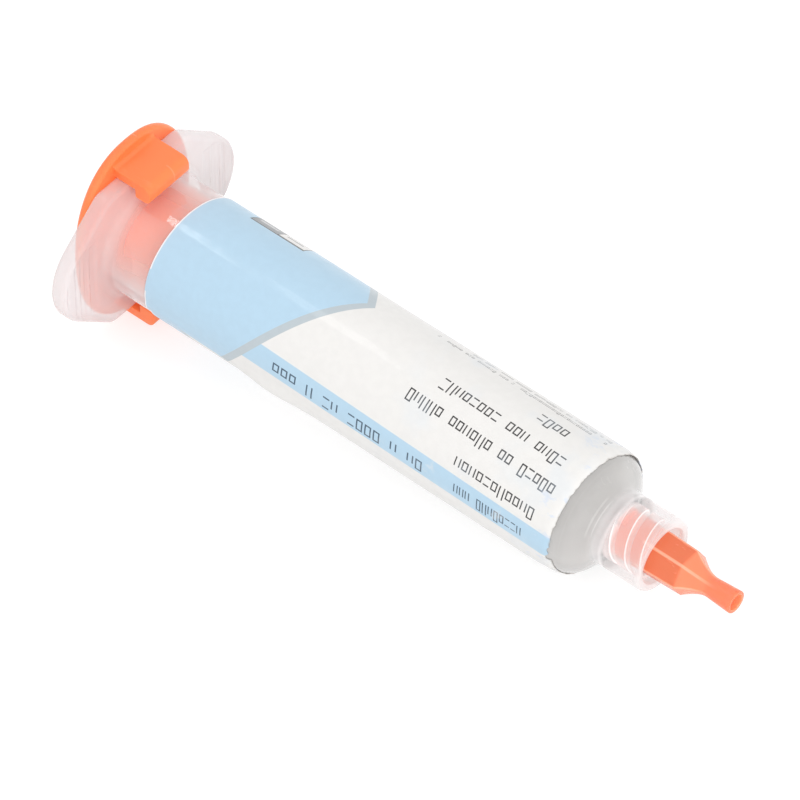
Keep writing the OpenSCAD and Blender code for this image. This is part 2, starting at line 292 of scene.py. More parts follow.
class Sheet:
    """A node tree with short calls for adding and wiring its nodes."""

    def __init__(self, tree: bpy.types.NodeTree) -> None:
        """Takes the tree to write in."""
        self.tree = tree

    def node(self, kind: str, **settings: object) -> bpy.types.Node:
        """Adds a shader node of that kind with those settings."""
        made = self.tree.nodes.new("ShaderNode" + kind)
        for key, value in settings.items():
            setattr(made, key, value)
        return made

    def feed(self, socket: Socket, value: object) -> None:
        """Links a socket to another, or sets its value."""
        if isinstance(value, Socket):
            self.tree.links.new(value, socket)
        elif isinstance(value, tuple) and len(value) == 3 and socket.type == "RGBA":
            socket.default_value = (*value, 1)
        else:
            socket.default_value = value

    def fill(self, node: bpy.types.Node, **values: object) -> Socket:
        """Feeds inputs by name, with _ for a space, and returns the node's first output."""
        for name, value in values.items():
            self.feed(node.inputs[name.replace("_", " ")], value)
        return node.outputs[0]

    def math(self, operation: str, *values: object) -> Socket:
        """The result of a Math node on those values."""
        made = self.node("Math", operation=operation)
        for socket, value in zip(made.inputs, values):
            self.feed(socket, value)
        return made.outputs[0]

    def times(self, *values: object) -> Socket:
        """The product of the values."""
        return reduce(partial(self.math, "MULTIPLY"), values)

    def plus(self, *values: object) -> Socket:
        """The sum of the values."""
        return reduce(partial(self.math, "ADD"), values)

    def most(self, *values: object) -> Socket:
        """The largest of the values."""
        return reduce(partial(self.math, "MAXIMUM"), values)

    def less(self, value: object, other: object) -> Socket:
        """A value less another."""
        return self.math("SUBTRACT", value, other)

    def over(self, value: object, other: object) -> Socket:
        """A value divided by another."""
        return self.math("DIVIDE", value, other)

    def above(self, value: object, other: object) -> Socket:
        """1 where a value is above another."""
        return self.math("GREATER_THAN", value, other)

    def below(self, value: object, other: object) -> Socket:
        """1 where a value is below another."""
        return self.math("LESS_THAN", value, other)

    def off(self, value: object, middle: object) -> Socket:
        """How far a value is from a middle."""
        return self.math("ABSOLUTE", self.less(value, middle))

    def mix(self, share: object, first: object, second: object, **settings: object) -> Socket:
        """One colour blended into another by a share."""
        made = self.node("Mix", data_type="RGBA", **settings)
        for index, value in ((0, share), (6, first), (7, second)):
            self.feed(made.inputs[index], value)
        return made.outputs[2]

    def shade(self, colour: object, amount: object) -> Socket:
        """A colour darkened by an amount."""
        return self.mix(1.0, colour, amount, blend_type="MULTIPLY")

    def rise(
        self, value: object, low: object, high: object, bottom: float = 0, top: float = 1
    ) -> Socket:
        """A value mapped smoothly from between low and high to between bottom and top."""
        made = self.node("MapRange", interpolation_type="SMOOTHSTEP")
        for index, given in enumerate((value, low, high, bottom, top)):
            self.feed(made.inputs[index], given)
        return made.outputs[0]

    def noise(self, place: object, scale: object, detail: float = 2, rough: float = 0.5) -> Socket:
        """The value of a Noise Texture at a place."""
        made = self.node("TexNoise")
        return self.fill(made, Vector=place, Scale=scale, Detail=detail, Roughness=rough)

    def stretch(self, place: object, scale: Triple) -> Socket:
        """A place scaled along each axis."""
        return self.fill(self.node("Mapping"), Vector=place, Scale=scale)

    def place(self) -> Socket:
        """The Object coordinates."""
        return self.node("TexCoord").outputs["Object"]

    def group(self, tree: bpy.types.NodeTree, **values: object) -> Socket:
        """The first output of a node group, with its inputs fed by name."""
        return self.fill(self.node("Group", node_tree=tree), **values)

    def bump(self, height: object, strength: float, distance: float) -> Socket:
        """The normal of a Bump node."""
        made = self.node("Bump")
        return self.fill(made, Strength=strength, Distance=distance, Height=height)


class Effects:
    """Effects that several finishes share, each a node group that is built once."""

    def __init__(self) -> None:
        """Builds the groups."""
        self.grain = self._group("moulded_grain", self._grain, Vector=None, Scale=2500.0)
        self.wear = self._group("handling_wear", self._wear, Vector=None, Scale=180.0, Amount=0.5)
        self.marks = self._group(
            "printed_marks", self._marks,
            Along=0.0, Across=0.0, Start=0.0, End=1.0, Centre=0.0, Height=1.6, Pitch=1.2, Line=0.18,
        )

    @staticmethod
    def _group(name: str, fill: Callable, **inputs: float | None) -> bpy.types.NodeTree:
        """A node group with one value output.

        Args:
            name: The group's name.
            fill: Takes a sheet and the input sockets by name, and returns the output's source.
            **inputs: The default of each input, or None for a vector.

        Returns:
            The group's tree.
        """
        tree = bpy.data.node_groups.new(name, "ShaderNodeTree")
        for key, default in inputs.items():
            kind = "NodeSocketVector" if default is None else "NodeSocketFloat"
            made = tree.interface.new_socket(key, in_out="INPUT", socket_type=kind)
            if default is not None:
                made.default_value = default
        tree.interface.new_socket("Mask", in_out="OUTPUT", socket_type="NodeSocketFloat")
        sheet = Sheet(tree)
        entry = tree.nodes.new("NodeGroupInput")
        leave = tree.nodes.new("NodeGroupOutput")
        sheet.feed(leave.inputs[0], fill(sheet, {key: entry.outputs[key] for key in inputs}))
        return tree

    @staticmethod
    def _grain(sheet: Sheet, given: dict) -> Socket:
        """Fine unevenness of a moulded surface, over a slow waviness."""
        fine = sheet.noise(given["Vector"], given["Scale"], 3, 0.6)
        slow = sheet.noise(given["Vector"], sheet.times(given["Scale"], 0.08), 1)
        return sheet.plus(sheet.times(fine, 0.35), slow)

    @staticmethod
    def _wear(sheet: Sheet, given: dict) -> Socket:
        """Patches of fine scuffs where a surface is handled."""
        patches = sheet.noise(given["Vector"], given["Scale"], 2)
        along = sheet.stretch(given["Vector"], (0.25, 1, 1))
        streaks = sheet.noise(along, sheet.times(given["Scale"], 14), 2)
        return sheet.times(
            sheet.rise(patches, 0.5, 0.68), sheet.rise(streaks, 0.52, 0.66), given["Amount"]
        )

    @staticmethod
    def _marks(sheet: Sheet, given: dict) -> Socket:
        """A printed row of hollow boxes and strokes, all different, with gaps between groups."""
        line, height, pitch = given["Line"], given["Height"], given["Pitch"]
        cell = sheet.math("FLOOR", sheet.over(given["Along"], pitch))
        first = sheet.times(cell, pitch)
        across = sheet.less(given["Along"], first)
        low = sheet.less(given["Centre"], sheet.times(height, 0.5))
        up = sheet.less(given["Across"], low)
        seed = sheet.fill(sheet.node("CombineXYZ"), X=cell, Y=given["Centre"])
        dice = sheet.node("TexWhiteNoise", noise_dimensions="2D")
        sheet.feed(dice.inputs["Vector"], seed)
        rolls = sheet.node("SeparateColor")
        sheet.feed(rolls.inputs[0], dice.outputs["Color"])
        small, shut, lone = rolls.outputs
        top = sheet.times(height, sheet.less(1.0, sheet.times(sheet.above(small, 0.42), 0.28)))
        wide = sheet.times(pitch, 0.76)
        sides = sheet.most(sheet.below(across, line), sheet.above(across, sheet.less(wide, line)))
        ends = sheet.most(sheet.below(up, line), sheet.above(up, sheet.less(top, line)))
        closed = sheet.above(shut, 0.3)
        upright = sheet.most(sheet.above(lone, 0.25), sheet.less(1.0, closed))
        strokes = sheet.most(sheet.times(sides, upright), sheet.times(ends, closed))
        box = sheet.times(sheet.below(across, wide), sheet.above(up, 0.0), sheet.below(up, top))
        word = sheet.above(dice.outputs["Value"], 0.16)
        last = sheet.below(sheet.plus(first, wide), given["End"])
        return sheet.times(strokes, box, word, sheet.above(first, given["Start"]), last)


def new_material(name: str) -> tuple[Material, Sheet, bpy.types.Node]:
    """A material with a Principled shader.

    Args:
        name: The material's name.

    Returns:
        The material, its sheet and its shader node.
    """
    made = bpy.data.materials.new(name)
    made.use_nodes = True
    return made, Sheet(made.node_tree), made.node_tree.nodes["Principled BSDF"]


@dataclass(frozen=True)
class OpaquePlastic:
    """A coloured moulded plastic, a little translucent; a faint painted glow keeps its shaded sides
    bright.
    """

    name: str
    colour: Triple
    worn: Triple
    roughness: float
    grain: float = 0.12
    scatter: float = 0.12
    scuffs: float = 0.2
    # The glow colour and its strength are a painted glow: emission that lightens shaded sides,
    # though the part is no lamp.
    glow: Triple = (1.0, 0.1, 0.03)
    painted_glow_strength: float = 0.0

    def make(self, effects: Effects, polish: Callable | None = None) -> Material:
        """The material, with uneven tone, scuffs and a fine grain.

        Args:
            effects: The shared effects.
            polish: Takes the sheet and a colour, and returns the colour with a piece's own marks.

        Returns:
            The material.
        """
        material, sheet, shader = new_material(self.name)
        place = sheet.place()
        tone = sheet.rise(sheet.noise(place, 90.0, 3), 0.3, 0.7)
        base = sheet.mix(tone, tuple(0.93 * c for c in self.colour), self.colour)
        if polish:
            base = polish(sheet, base)
        wear = sheet.group(effects.wear, Vector=place, Scale=160.0, Amount=self.scuffs)
        grain = sheet.group(effects.grain, Vector=place, Scale=1800.0)
        sheet.fill(
            shader,
            Base_Color=sheet.mix(wear, base, self.worn),
            Roughness=sheet.plus(sheet.times(wear, 0.2), self.roughness),
            Normal=sheet.bump(grain, self.grain, 0.05 * MM),
            Subsurface_Weight=self.scatter,
            Subsurface_Radius=(1.0, 0.35, 0.15),
            Subsurface_Scale=0.9 * MM,
            # Painted glow: emission that keeps the shaded sides bright.
            Emission_Color=self.glow,
            Emission_Strength=self.painted_glow_strength,
            IOR=1.49,
        )
        return material


@dataclass(frozen=True)
class ClearPlastic:
    """The barrel's natural plastic: thin walls show what is inside, thick ones are milkier.

    The amounts are shares of cover. What fills the shoulder looks as wide as the wall itself, as
    it does through a real wall, so the wall there takes the filling's colour.
    """

    name: str = "natural_plastic"
    colour: Triple = (0.875, 0.82, 0.82)
    flange_colour: Triple = (0.81, 0.735, 0.74)
    nose_colour: Triple = (0.8, 0.762, 0.76)
    filled_colour: Triple = (0.49, 0.475, 0.46)
    # Pale colour of the painted highlight lines and of the painted glow in the nose.
    painted_light_colour: Triple = (0.93, 0.89, 0.89)
    roughness: float = 0.2
    wall: float = 0.165
    grazing: float = 0.8
    flange: float = 0.21
    fillet: float = 0.1
    nose: float = 0.03
    filled: float = 0.5
    floor: float = 0.36
    rim: float = 0.14
    ridge: float = 0.14
    # Cover of the painted highlight lines on the thread and at the neck's root.
    line: float = 0.5
    # Strength of the painted glow in the nose.
    glow: float = 0.25

    def make(self, effects: Effects, datum: Datum, nose: "Barrel") -> Material:
        """The material.

        Args:
            effects: The shared effects.
            datum: Where the barrel lies.
            nose: The moulding, for the stations of its thick places.

        Returns:
            The material, whose cover follows the moulding's thickness.
        """
        material, sheet, shader = new_material(self.name)
        place = sheet.place()
        s, radius, turn = datum.axes(sheet)
        rise, times = sheet.rise, sheet.times

        def near(value: object, middle: float, outer: float, inner: float) -> Socket:
            """1 where a value is near its middle, falling to 0 at the outer distance."""
            return rise(sheet.off(value, middle), outer, inner)

        phase = sheet.less(sheet.over(s, nose.pitch), sheet.over(turn, math.pi))
        off = times(sheet.less(phase, sheet.math("ROUND", phase)), nose.pitch)
        wall = times(rise(radius, 4.7, 4.4), rise(radius, 3.3, 3.5))
        inside = times(wall, rise(s, 81.95, 82.05), rise(s, 88.8, 88.5))
        ridge = times(inside, near(off, 0.0, 0.45, 0.35))
        # Painted highlight lines along the thread's flanks, a strong one and a faint one.
        faint = times(near(off, 0.4, 0.08, 0.02), 0.6)
        line = times(inside, sheet.plus(near(off, -0.4, 0.085, 0.02), faint))
        outside = sheet.less(1.0, sheet.node("NewGeometry").outputs["Backfacing"])
        filled = times(rise(s, 70.0, 71.0), rise(s, 82.4, 80.2), outside)
        tube = rise(s, nose.flange_t + 0.5, nose.flange_t + 2.0)
        # Two painted highlight arcs at the neck's root.
        root = sheet.most(
            near(s, nose.root_s - 0.5, 0.12, 0.05), near(s, nose.root_s - 0.05, 0.1, 0.04)
        )
        thick = sheet.less(sheet.plus(times(tube, 0.75), 0.25), rise(s, 81.0, 82.0, 0, 0.4))
        facing = sheet.node("LayerWeight")
        facing.inputs["Blend"].default_value = 0.5
        edge_on = sheet.math("POWER", facing.outputs["Facing"], 1.5)
        layers = (
            (ridge, self.ridge),
            (line, self.line),
            (rise(s, nose.flange_t + 1.6, nose.flange_t - 0.3), self.flange),
            (rise(s, nose.root_s - 0.3, nose.root_s + 0.8), self.nose),
            (filled, self.filled),
            (near(s, nose.base_s + 0.1, 1.4, 0.5), self.floor),
            (near(s, nose.flange_t + 0.8, 1.3, 0.4), self.fillet),
            (rise(s, nose.top_s - 0.9, nose.top_s - 0.3), self.rim),
            (times(root, near(turn, 0.65, 0.6, 0.3)), self.line * 0.45),
            (rise(sheet.noise(place, 60.0, 3), 0.3, 0.7), 0.05),
            (times(edge_on, thick), self.grazing),
        )
        cover = sheet.plus(*(times(mask, amount) for mask, amount in layers), self.wall)
        cover = sheet.math("MINIMUM", cover, 0.92)
        # Light falls through the plastic onto what is inside it and on the floor.
        shaded = times(sheet.node("LightPath").outputs["Is Shadow Ray"], 0.95)
        tint = sheet.mix(tube, self.flange_colour, self.colour)
        tint = sheet.mix(rise(s, 60.0, 65.0), tint, self.nose_colour)
        tint = sheet.mix(filled, tint, self.filled_colour)
        # The painted highlight lines take the pale colour.
        tint = sheet.mix(line, tint, self.painted_light_colour)
        cloud = rise(sheet.noise(place, 200.0, 3), 0.3, 0.7, 0.96, 1.0)
        wear = sheet.group(effects.wear, Vector=place, Scale=120.0, Amount=0.6)
        grain = sheet.group(effects.grain, Vector=place, Scale=900.0)
        gloss = sheet.most(
            times(tube, rise(radius, nose.bore + 0.2, nose.bore + 0.6)),
            times(rise(s, 78.0, 79.0), rise(radius, 4.6, 4.9)),
        )
        # A painted glow stands in for light that spreads inside the nose's thick plastic, and keeps
        # it from going dark.
        painted_glow_share = times(rise(s, 82.2, 82.8), rise(s, 83.5, 86.5, 1.0, 0.5))
        sheet.fill(
            shader,
            Alpha=times(cover, sheet.less(1.0, shaded)),
            Base_Color=sheet.shade(tint, cloud),
            Roughness=sheet.plus(times(wear, 0.15), self.roughness),
            Normal=sheet.bump(grain, 0.02, 0.04 * MM),
            IOR=1.5,
            Coat_Weight=rise(gloss, 0, 1, 0.15, 1.0),
            Coat_IOR=2.2,
            Coat_Roughness=0.05,
            Emission_Color=sheet.mix(painted_glow_share, (0.0, 0.0, 0.0), self.painted_light_colour),
            Emission_Strength=self.glow,
        )
        return material


@dataclass(frozen=True)
class PasteFinish:
    """Solder paste: grey, dull and slightly grainy, pressed smooth against the wall."""

    name: str = "solder_paste"
    colour: Triple = (0.48, 0.47, 0.455)

    def make(self, effects: Effects) -> Material:
        """The material, with speckled tone and a soft sheen."""
        material, sheet, shader = new_material(self.name)
        place = sheet.place()
        speck = sheet.noise(place, 3500.0, 2)
        patch = sheet.rise(sheet.noise(place, 140.0, 3), 0.35, 0.65)
        dark, pale = (tuple(k * c for c in self.colour) for k in (0.88, 1.1))
        blend = sheet.plus(sheet.times(speck, 0.4), sheet.times(patch, 0.6))
        sheet.fill(
            shader,
            Base_Color=sheet.mix(blend, dark, pale),
            Roughness=sheet.rise(patch, 0, 1, 0.42, 0.55),
            Normal=sheet.bump(speck, 0.2, 0.05 * MM),
            Metallic=0.15,
        )
        return material


@dataclass(frozen=True)
class PrintedFilm:
    """The label's print: a pale blue field with a pointed end, a grey border and a stripe."""

    name: str = "label_film"
    white: Triple = (0.845, 0.83, 0.81)
    blue: Triple = (0.475, 0.67, 0.825)
    grey: Triple = (0.5, 0.565, 0.605)
    ink: Triple = (0.035, 0.033, 0.033)
    slate: Triple = (0.04, 0.085, 0.14)
    faint: Triple = (0.33, 0.325, 0.32)
    # Painted light: the band near the back is whiter and bluer, against the pink light that falls
    # there.
    rear_white_painted_light: Triple = (0.89, 0.89, 0.93)
    point_s: float = 38.8
    point_q: float = -2.67
    slope: float = 0.77
    far_slope: float = 0.62
    border: float = 1.3
    margin: float = 0.22
    drift: float = 0.03
    # Start, end, middle, height and pitch of each row of marks, then the width of its lines.
    rows: tuple[tuple[float, ...], ...] = (
        (57.4, 75.2, 8.66, 1.75, 1.22, 0.2),
        (50.4, 75.6, 4.56, 1.75, 1.18, 0.2),
        (52.8, 75.2, 0.93, 1.75, 1.22, 0.2),
        (66.6, 75.0, -2.95, 1.75, 1.26, 0.2),
    )
    small_rows: tuple[tuple[float, ...], ...] = (
        (47.0, 75.8, -6.0, 0.75, 0.52, 0.13),
        (52.0, 75.9, -7.35, 0.75, 0.52, 0.13),
    )
    stripe_rows: tuple[tuple[float, ...], ...] = (
        (29.6, 60.4, 12.5, 1.8, 1.42, 0.23),
        (61.4, 74.6, 12.5, 1.9, 0.95, 0.18),
    )

    def make(self, effects: Effects, film: "Label") -> Material:
        """The material, printed by station and by distance round the barrel.

        Args:
            effects: The shared effects.
            film: The label, for its edges and the scale of its map.

        Returns:
            The material.
        """
        material, sheet, shader = new_material(self.name)
        rise, times = sheet.rise, sheet.times
        split = sheet.node("SeparateXYZ")
        sheet.feed(split.inputs[0], sheet.node("UVMap", uv_map=film.UV_NAME).outputs[0])
        s = times(split.outputs[0], film.UV_S)
        q = sheet.less(times(split.outputs[1], film.UV_Q), film.UV_Q0)
        far = times(sheet.below(q, self.point_q), self.far_slope - self.slope)
        drop = times(sheet.off(q, self.point_q), sheet.plus(far, self.slope))
        inside = sheet.less(sheet.less(self.point_s, drop), s)
        shift = times(sheet.math("SINE", times(q, 0.75 / film.UV_R)), -film.sway)
        behind = rise(sheet.less(s, sheet.plus(shift, film.rear + self.margin)), -0.08, 0.08)
        ahead = sheet.less(sheet.plus(shift, film.front), s)
        frame = rise(inside, -0.06, 0.06)
        outside = sheet.less(1.0, frame)
        level = sheet.less(q, times(sheet.less(s, 28.0), self.drift))
        stripe = times(rise(level, 10.24, 10.36), rise(level, 13.9, 13.78))
        # Painted light: the band near the back is painted whiter.
        colour = sheet.mix(rise(s, 12.0, 11.0), self.white, self.rear_white_painted_light)
        colour = sheet.mix(stripe, colour, self.blue)
        colour = sheet.mix(times(frame, behind), colour, self.grey)
        field = times(rise(inside, self.border - 0.06, self.border + 0.06), behind)
        colour = sheet.mix(field, colour, self.blue)
        printed = (
            (self.rows, self.ink), (self.small_rows, self.faint), (self.stripe_rows, self.slate)
        )
        keys = ("Start", "End", "Centre", "Height", "Pitch", "Line")
        for rows, ink in printed:
            for row in rows:
                given = dict(zip(keys, row))
                marks = sheet.group(effects.marks, Along=s, Across=level, **given)
                colour = sheet.mix(times(marks, outside), colour, ink)
        place = sheet.place()
        colour = self._wear(sheet, s, ahead, place, self._table(sheet, s, q, colour))
        mottle = rise(sheet.noise(place, 900.0, 3), 0.3, 0.7, 0.975, 1.0)
        grain = sheet.group(effects.grain, Vector=place, Scale=2200.0)
        sheet.fill(
            shader,
            Base_Color=sheet.shade(colour, mottle),
            Roughness=rise(sheet.noise(place, 400.0, 3), 0.3, 0.7, 0.4, 0.55),
            Normal=sheet.bump(grain, 0.2, 0.05 * MM),
            Coat_Weight=0.4,
            Coat_Roughness=0.05,
        )
        return material

    def _table(self, sheet: Sheet, s: Socket, q: Socket, colour: Socket) -> Socket:
        """A small ruled table printed on the blue field, with a dark and a white half."""
        boxes = [
            (15.6, 24.7, -16.0, -5.1, (0.13, 0.135, 0.14)),
            (15.8, 20.1, -15.8, -5.35, (0.3, 0.31, 0.32)),
        ]
        for low in (-15.8, -13.2, -10.6, -8.0):
            boxes += [
                (20.25, 24.5, low, low + 2.45, self.white),
                (16.4, 19.4, low + 0.9, low + 1.5, (0.6, 0.61, 0.62)),
                (20.9, 23.6, low + 0.9, low + 1.4, self.faint),
            ]
        for s0, s1, q0, q1, ink in boxes:
            along = sheet.times(sheet.above(s, s0), sheet.below(s, s1))
            inside = sheet.times(along, sheet.above(q, q0), sheet.below(q, q1))
            colour = sheet.mix(inside, colour, ink)
        return colour

    def _wear(
        self, sheet: Sheet, s: Socket, ahead: Socket, place: Socket, colour: Socket
    ) -> Socket:
        """Dirt along the front edge, rubbed ink and a few pale blue smudges."""
        rise, times, noise_at = sheet.rise, sheet.times, sheet.noise
        ragged = times(noise_at(place, 700.0, 4, 0.7), 0.9)
        dirt = times(rise(sheet.plus(ahead, ragged), 0.62, 0.4), 0.38)
        smear = rise(noise_at(sheet.stretch(place, (0.6, 1, 1)), 420.0, 4, 0.7), 0.56, 0.68)
        wide = times(rise(s, 44.0, 56.0), rise(noise_at(place, 150.0, 3), 0.52, 0.7), 0.22)
        rubbed = times(rise(noise_at(place, 260.0, 4, 0.7), 0.6, 0.75), 0.4)
        for share, paint in (
            (dirt, (0.36, 0.32, 0.27)),
            (times(rise(ahead, 7.0, 2.0), smear, 0.5), (0.6, 0.7, 0.88)),
            (wide, (0.66, 0.77, 0.88)),
            (times(rubbed, rise(s, 40.0, 60.0)), self.white),
        ):
            colour = sheet.mix(share, colour, paint)
        return colour


class FlangeEdge(Enum):
    """The parts of a quarter of the flange's outline, from a flat to the tip of an ear."""

    FLAT = "flat"
    CORNER = "corner"
    SLANT = "slant"
    EAR = "ear"


@dataclass
class Barrel:
    """The one-piece moulding: eared flange, barrel, shoulder and Luer-lock nose."""

    datum: Datum
    steps: int = 240
    outer: float = 8.9
    bore: float = 7.9
    flange_t: float = 2.5
    flat: float = 11.7
    slant: float = 13.9
    tip: float = 16.9
    slope: float = math.radians(41)
    corner: float = 2.5
    edge: float = 0.7
    fillet: float = 1.3
    nominal: float = 20.0
    shoulder_s: float = 76.4
    shoulder_r: float = 4.0
    collar: float = 5.25
    collar_in: float = 4.05
    root_s: float = 81.038
    base_s: float = 81.938
    top_s: float = 88.988
    luer_s: float = 90.238
    luer_r: float = 1.975
    outlet: float = 1.1
    funnel: float = 3.506
    pitch: float = 2.5
    thread_height: float = 0.42
    pad_start: float = 10.2
    pad_middle: float = 11.0
    pad_reach: Point = (5.2, 6.3)
    pad_depth: float = 0.16
    # The ribs on a pad: distance from the axis, half the foot, half the top and share of height.
    ribs: tuple[tuple[float, ...], ...] = (
        (15.3, 0.75, 0.6, 1.0), (13.95, 0.34, 0.22, 1.0), (13.1, 0.3, 0.15, 0.35),
        (12.0, 0.2, 0.1, 0.7),
    )

    def outline(self, turn: float, inset: float) -> float:
        """Radius of the flange's outline.

        Args:
            turn: Direction from the top, in radians.
            inset: How far the outline is drawn in.

        Returns:
            The distance from the axis to the outline in that direction.
        """
        x, y = abs(math.cos(turn)), abs(math.sin(turn))
        beta = math.atan2(y, x)
        sin, cos = math.sin(self.slope), math.cos(self.slope)
        flat, slant, tip = self.flat - inset, self.slant - inset, self.tip - inset
        corner = self.corner - inset
        cy = (slant - corner - (flat - corner) * cos) / sin
        ear = (tip - slant) / (1 - sin)
        radius = tip - ear
        ends = (
            (FlangeEdge.FLAT, math.atan2(cy, flat)),
            (FlangeEdge.CORNER, math.atan2(cy + corner * sin, flat - corner + corner * cos)),
            (FlangeEdge.SLANT, math.atan2(ear + radius * sin, radius * cos)),
            (FlangeEdge.EAR, math.pi),
        )
        part = next(name for name, end in ends if beta <= end)
        if part is FlangeEdge.FLAT:
            return flat / x
        if part is FlangeEdge.SLANT:
            return slant / math.cos(beta - self.slope)
        centre, r = (0.0, ear), radius
        if part is FlangeEdge.CORNER:
            centre, r = (flat - corner, cy), corner
        along = x * centre[0] + y * centre[1]
        return along + math.sqrt(along**2 - centre[0] ** 2 - centre[1] ** 2 + r**2)

    def cone(self, s: float) -> float:
        """Radius of the male cone at a station."""
        return self.luer_r + (self.luer_s - s) * 0.03

    def profile(self) -> list[Point]:
        """The closed section, from the bore's mouth round the outside and back through the nose."""
        rim = self.nominal
        soft = [math.radians(a) for a in (0, 15, 30, 45, 60, 75, 90)]
        back = [(self.edge * (1 - math.cos(a)), rim - self.edge * (1 - math.sin(a))) for a in soft]
        front = [(self.flange_t - s, r) for s, r in reversed(back)]
        face = spread(front[-1], (self.flange_t, self.outer + self.fillet), 56)
        fillet = arc(self.flange_t + self.fillet, self.outer + self.fillet, -self.fillet, 90, 0, 8)
        centre = self.outer - self.shoulder_r
        inner = self.shoulder_r - (self.outer - self.bore)
        rim_r = 0.6
        # The bore's mouth, the flange and the barrel.
        points = [(0.25, self.bore), (0.07, self.bore + 0.06), (0.0, self.bore + 0.25)]
        points += [(0.0, r) for r in (8.9, 12.0, 15.0, 17.5)]
        points += back + front + face + fillet[1:]
        points += [(s, self.outer) for s in (6.0, 9.6, 20.0, 35.0, 50.0, 62.0, 71.0)]
        # The shoulder and the collar's outside.
        cone = math.degrees(CONE)
        points += arc(self.shoulder_s, centre, self.shoulder_r, 0, cone, 12)
        points += arc(self.root_s + 0.5 * math.tan(CONE / 2), self.collar + 0.5, -0.5, cone, 0, 5)
        points += [(83.5, self.collar), (86.0, self.collar)]
        points += arc(self.top_s - rim_r, self.collar - rim_r, rim_r, 0, 90, 8)
        # The collar's rim, its inside with rows for the thread, and its floor.
        points += [(self.top_s, 4.5)]
        points += arc(self.top_s - 0.3, self.collar_in + 0.3, -0.3, 270, 360, 4)[1:]
        points += spread(points[-1], (self.base_s + 0.2, self.collar_in), 64)
        points += [(self.base_s + 0.05, 3.98), (self.base_s, 3.8), (self.base_s, 2.55)]
        points += [(self.base_s + 0.06, 2.33), (self.base_s + 0.25, self.cone(self.base_s + 0.25))]
        # The male cone, and back through its outlet and the shoulder to the bore.
        points += [(s, self.cone(s)) for s in (84.0, 87.0, 90.0)]
        points += [(90.18, 1.93), (self.luer_s, 1.84), (self.luer_s, 1.26), (90.19, 1.15)]
        points += [(90.0, self.outlet)]
        points += [(s, self.outlet) for s in (87.0, 84.0, self.root_s + 0.4)]
        points += [(self.root_s, self.funnel)] + arc(self.shoulder_s, centre, inner, cone, 0, 10)
        points += [(s, self.bore) for s in (60.0, 45.0, 30.0, 15.0, 5.0)] + [points[0]]
        return points

    def shape(self, s: float, r: float, turn: float) -> Triple:
        """Draws the flange's rows out to its outline, sinks the pads and raises the thread."""
        seat = self.outer + self.fillet if s > self.flange_t / 2 else self.outer
        full = self.nominal - self.edge
        if s <= self.flange_t + 1e-3 and r > seat:
            if r > full + 1e-4:
                r = self.outline(turn, self.nominal - r)
            else:
                r = seat + (r - seat) / (full - seat) * (self.outline(turn, self.edge) - seat)
            if s > self.flange_t - 1e-3:
                s -= self.pad(r * math.sin(turn), r * math.cos(turn))
        elif abs(r - self.collar_in) < 1e-3 and s > self.base_s:
            r -= self.thread(s, turn)
        return s, r, turn

    def pad(self, y: float, z: float) -> float:
        """Depth of the finger pad at a place on the flange's front, less its upright ribs."""
        y, z = abs(y), abs(z)
        wide, tall = self.pad_reach
        reach = (max(0.0, y - self.pad_middle) / wide) ** 3.5 + (z / tall) ** 3.5
        sunk = smooth(1.15, 0.85, reach) * smooth(self.pad_start, self.pad_middle, y)
        rib = max(share * smooth(foot, top, abs(y - at)) for at, foot, top, share in self.ribs)
        return self.pad_depth * sunk * (1 - rib)

    def thread(self, s: float, turn: float) -> float:
        """Height of the two-start inner thread at a place on the collar's wall."""
        phase = s / self.pitch - turn / math.pi
        off = abs(phase - round(phase)) * self.pitch
        past_lugs = max(smooth(83.5, 84.1, s), smooth(0.46, 0.6, abs(math.sin(turn))))
        ends = smooth(82.5, 83.0, s) * smooth(88.6, 88.2, s)
        return self.thread_height * smooth(0.5, 0.25, off) * past_lugs * ends

    def build(self) -> Object:
        """The moulding, for the CAD node barrel."""
        piece = Bench.turn(self.datum, self.profile(), self.steps)
        Bench.reshape(self.datum, piece, self.shape)
        return Bench.done(piece, "barrel_moulding", 40)


